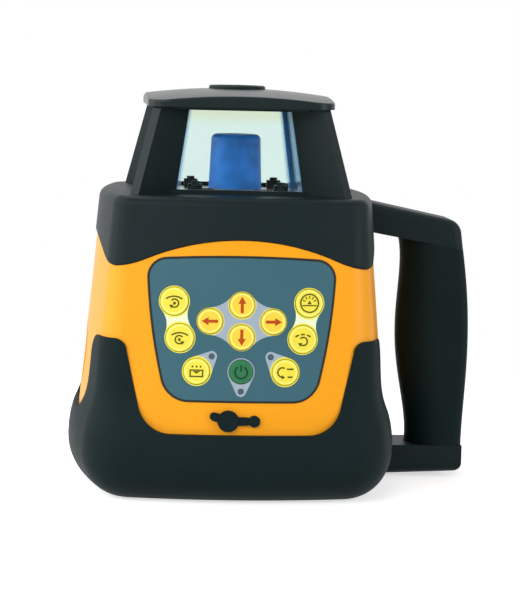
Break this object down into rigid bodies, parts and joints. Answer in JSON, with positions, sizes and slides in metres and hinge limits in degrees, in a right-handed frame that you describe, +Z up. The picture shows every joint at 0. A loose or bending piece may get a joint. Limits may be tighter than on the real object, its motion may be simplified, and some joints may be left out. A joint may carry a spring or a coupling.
{
  "type": "rotary laser transmitter",
  "caption": "Self-levelling rotary laser transmitter: tapered case with keypad, side carrying handle, rubber base bumper and glazed lantern head over a spinning prism rotor.",
  "frame": {"origin": "mouth of the tripod thread, on the plane that the unit rests on, on the rotor axis", "axes": "+Z up along the rotor axis, -Y out of the keypad front, +X towards the carrying handle"},
  "size_m": [0.2104, 0.1674, 0.205],
  "materials": {
    "orange_plastic": "satin moulded, bright orange-yellow",
    "black_rubber": "matt fine-grained overmould",
    "black_plastic": "spark-eroded black",
    "pane_glass": "clear with a faint cyan coating",
    "prism_glass": "clear optical",
    "rotor_blue": "glossy blue",
    "panel_film": "fine-textured slate blue film",
    "key_yellow": "embossed yellow film key",
    "key_green": "embossed green film key",
    "lamp": "clear diffused",
    "brass": "machined",
    "steel": "machined, plated",
    "aluminium": "bead blasted",
    "circuit_board": "solder mask",
    "belt_rubber": "smooth",
    "cell_wrap": "plain sleeve",
    "vial": "clear tinted"
  },
  "bodies": {
    "housing": {"base_plate": "black_plastic", "tripod_insert": "brass", "base_bumper": "black_rubber", "body_shell": "orange_plastic", "shoulder_cover": "black_plastic", "deck_plate": "aluminium", "deck_clamps": "black_plastic", "lantern_frame": "black_plastic", "window_pane_front": "pane_glass", "window_pane_right": "pane_glass", "window_pane_back": "pane_glass", "window_pane_left": "pane_glass", "top_cap": "black_plastic", "top_window_bezel": "black_plastic", "top_window": "pane_glass", "handle_frame": "black_plastic", "handle_grip": "black_rubber", "case_screws": "steel", "keypad_overlay": "panel_film", "keypad_board": "circuit_board", "status_leds": "lamp", "charge_jack": "black_plastic", "dust_cap_anchor": "black_rubber", "battery_box": "black_plastic", "battery_cells": "cell_wrap", "side_mount_insert": "brass", "chassis_frame": "aluminium", "gimbal_pins_x": "steel", "level_motors": "steel", "main_board": "circuit_board"},
    "gimbal": {"gimbal_ring": "aluminium"},
    "barrel": {"laser_barrel": "aluminium", "laser_module": "aluminium", "level_sensors": "vial", "spin_bearings": "steel", "spin_motor": "steel", "drive_belt": "belt_rubber", "gimbal_pins_y": "steel"},
    "rotor": {"rotor_hub": "aluminium", "rotor_head": "rotor_blue", "pentaprism": "prism_glass"},
    "motor_rotor": {"motor_pulley": "aluminium"},
    "nut_x": {"level_nut_x": "brass"},
    "nut_y": {"level_nut_y": "brass"},
    "lead_x": {"lead_screw_x": "steel"},
    "lead_y": {"lead_screw_y": "steel"},
    "cap_of_socket": {"dust_cap": "black_rubber"},
    "door": {"battery_door": "orange_plastic"},
    "door_screw": {"battery_door_screw": "steel"},
    "key_up_body": {"key_up": "key_yellow"},
    "key_down_body": {"key_down": "key_yellow"},
    "key_left_body": {"key_left": "key_yellow"},
    "key_right_body": {"key_right": "key_yellow"},
    "key_scan_left_body": {"key_scan_left": "key_yellow"},
    "key_scan_right_body": {"key_scan_right": "key_yellow"},
    "key_scan_angle_body": {"key_scan_angle": "key_yellow"},
    "key_spin_speed_body": {"key_spin_speed": "key_yellow"},
    "key_tilt_alarm_body": {"key_tilt_alarm": "key_yellow"},
    "key_auto_manual_body": {"key_auto_manual": "key_yellow"},
    "key_power_body": {"key_power": "key_green"}
  },
  "joints": [
    {"name": "gimbal_tilt_x", "type": "hinge", "parent": "housing", "child": "gimbal", "pos_m": [0, 0, 0.134], "axis": [1, 0, 0], "range_deg": [-5, 5]},
    {"name": "gimbal_tilt_y", "type": "hinge", "parent": "gimbal", "child": "barrel", "pos_m": [0, 0, 0.134], "axis": [0, 1, 0], "range_deg": [-5, 5]},
    {"name": "rotor_spin", "type": "hinge", "parent": "barrel", "child": "rotor", "pos_m": [0, 0, 0.15], "axis": [0, 0, 1], "continuous": true},
    {"name": "motor_spin", "type": "hinge", "parent": "barrel", "child": "motor_rotor", "pos_m": [-0.024, 0, 0.142], "axis": [0, 0, 1], "continuous": true},
    {"name": "nut_x_slide", "type": "slide", "parent": "housing", "child": "nut_x", "axis": [0, 0, 1], "range_m": [-0.0019, 0.0019]},
    {"name": "nut_y_slide", "type": "slide", "parent": "housing", "child": "nut_y", "axis": [0, 0, 1], "range_m": [-0.0024, 0.0024]},
    {"name": "lead_x_turn", "type": "hinge", "parent": "housing", "child": "lead_x", "pos_m": [0.0276, 0, 0.121], "axis": [0, 0, 1], "range_deg": [-330, 330]},
    {"name": "lead_y_turn", "type": "hinge", "parent": "housing", "child": "lead_y", "pos_m": [0.01952, 0.01952, 0.121], "axis": [0, 0, 1], "range_deg": [-410, 410]},
    {"name": "dust_cap_hinge", "type": "hinge", "parent": "housing", "child": "cap_of_socket", "pos_m": [0.00308, -0.07922, 0.04228], "axis": [0.0021, 0.0901, 0.9959], "range_deg": [0, 90], "stiffness_Nm_per_rad": 0.002},
    {"name": "battery_door_hinge", "type": "hinge", "parent": "housing", "child": "door", "pos_m": [0, 0.07477, 0.03943], "axis": [-1, 0, 0], "range_deg": [0, 75]},
    {"name": "battery_door_screw_turn", "type": "hinge", "parent": "door", "child": "door_screw", "pos_m": [0, 0.07075, 0.09766], "axis": [0, 0.9959, 0.0901], "range_deg": [0, 90]},
    {"name": "key_up_press", "type": "slide", "parent": "housing", "child": "key_up_body", "axis": [0, 0.9959, -0.0901], "range_m": [0, 0.0006], "stiffness_N_per_m": 1500, "springref_m": -0.0006},
    {"name": "key_down_press", "type": "slide", "parent": "housing", "child": "key_down_body", "axis": [0, 0.9959, -0.0901], "range_m": [0, 0.0006], "stiffness_N_per_m": 1500, "springref_m": -0.0006},
    {"name": "key_left_press", "type": "slide", "parent": "housing", "child": "key_left_body", "axis": [0.0617, 0.994, -0.0901], "range_m": [0, 0.0006], "stiffness_N_per_m": 1500, "springref_m": -0.0006},
    {"name": "key_right_press", "type": "slide", "parent": "housing", "child": "key_right_body", "axis": [-0.0617, 0.994, -0.0901], "range_m": [0, 0.0006], "stiffness_N_per_m": 1500, "springref_m": -0.0006},
    {"name": "key_scan_left_press", "type": "slide", "parent": "housing", "child": "key_scan_left_body", "axis": [0.1318, 0.9872, -0.0901], "range_m": [0, 0.0006], "stiffness_N_per_m": 1500, "springref_m": -0.0006},
    {"name": "key_scan_right_press", "type": "slide", "parent": "housing", "child": "key_scan_right_body", "axis": [0.1191, 0.9888, -0.0901], "range_m": [0, 0.0006], "stiffness_N_per_m": 1500, "springref_m": -0.0006},
    {"name": "key_scan_angle_press", "type": "slide", "parent": "housing", "child": "key_scan_angle_body", "axis": [-0.1318, 0.9872, -0.0901], "range_m": [0, 0.0006], "stiffness_N_per_m": 1500, "springref_m": -0.0006},
    {"name": "key_spin_speed_press", "type": "slide", "parent": "housing", "child": "key_spin_speed_body", "axis": [-0.1191, 0.9888, -0.0901], "range_m": [0, 0.0006], "stiffness_N_per_m": 1500, "springref_m": -0.0006},
    {"name": "key_tilt_alarm_press", "type": "slide", "parent": "housing", "child": "key_tilt_alarm_body", "axis": [0.0855, 0.9923, -0.0901], "range_m": [0, 0.0006], "stiffness_N_per_m": 1500, "springref_m": -0.0006},
    {"name": "key_auto_manual_press", "type": "slide", "parent": "housing", "child": "key_auto_manual_body", "axis": [-0.0855, 0.9923, -0.0901], "range_m": [0, 0.0006], "stiffness_N_per_m": 1500, "springref_m": -0.0006},
    {"name": "key_power_press", "type": "slide", "parent": "housing", "child": "key_power_body", "axis": [0, 0.9959, -0.0901], "range_m": [0, 0.0006], "stiffness_N_per_m": 1500, "springref_m": -0.0006}
  ],
  "couplings": [
    {"joint": "motor_spin", "follows": "rotor_spin", "ratio": 3.25},
    {"joint": "nut_x_slide", "follows": "gimbal_tilt_y", "m_per_rad": -0.0201},
    {"joint": "lead_x_turn", "follows": "gimbal_tilt_y", "ratio": 63.146},
    {"joint": "nut_y_slide", "follows": "gimbal_tilt_x", "m_per_rad": 0.024819},
    {"joint": "lead_y_turn", "follows": "gimbal_tilt_x", "ratio": -77.973}
  ]
}
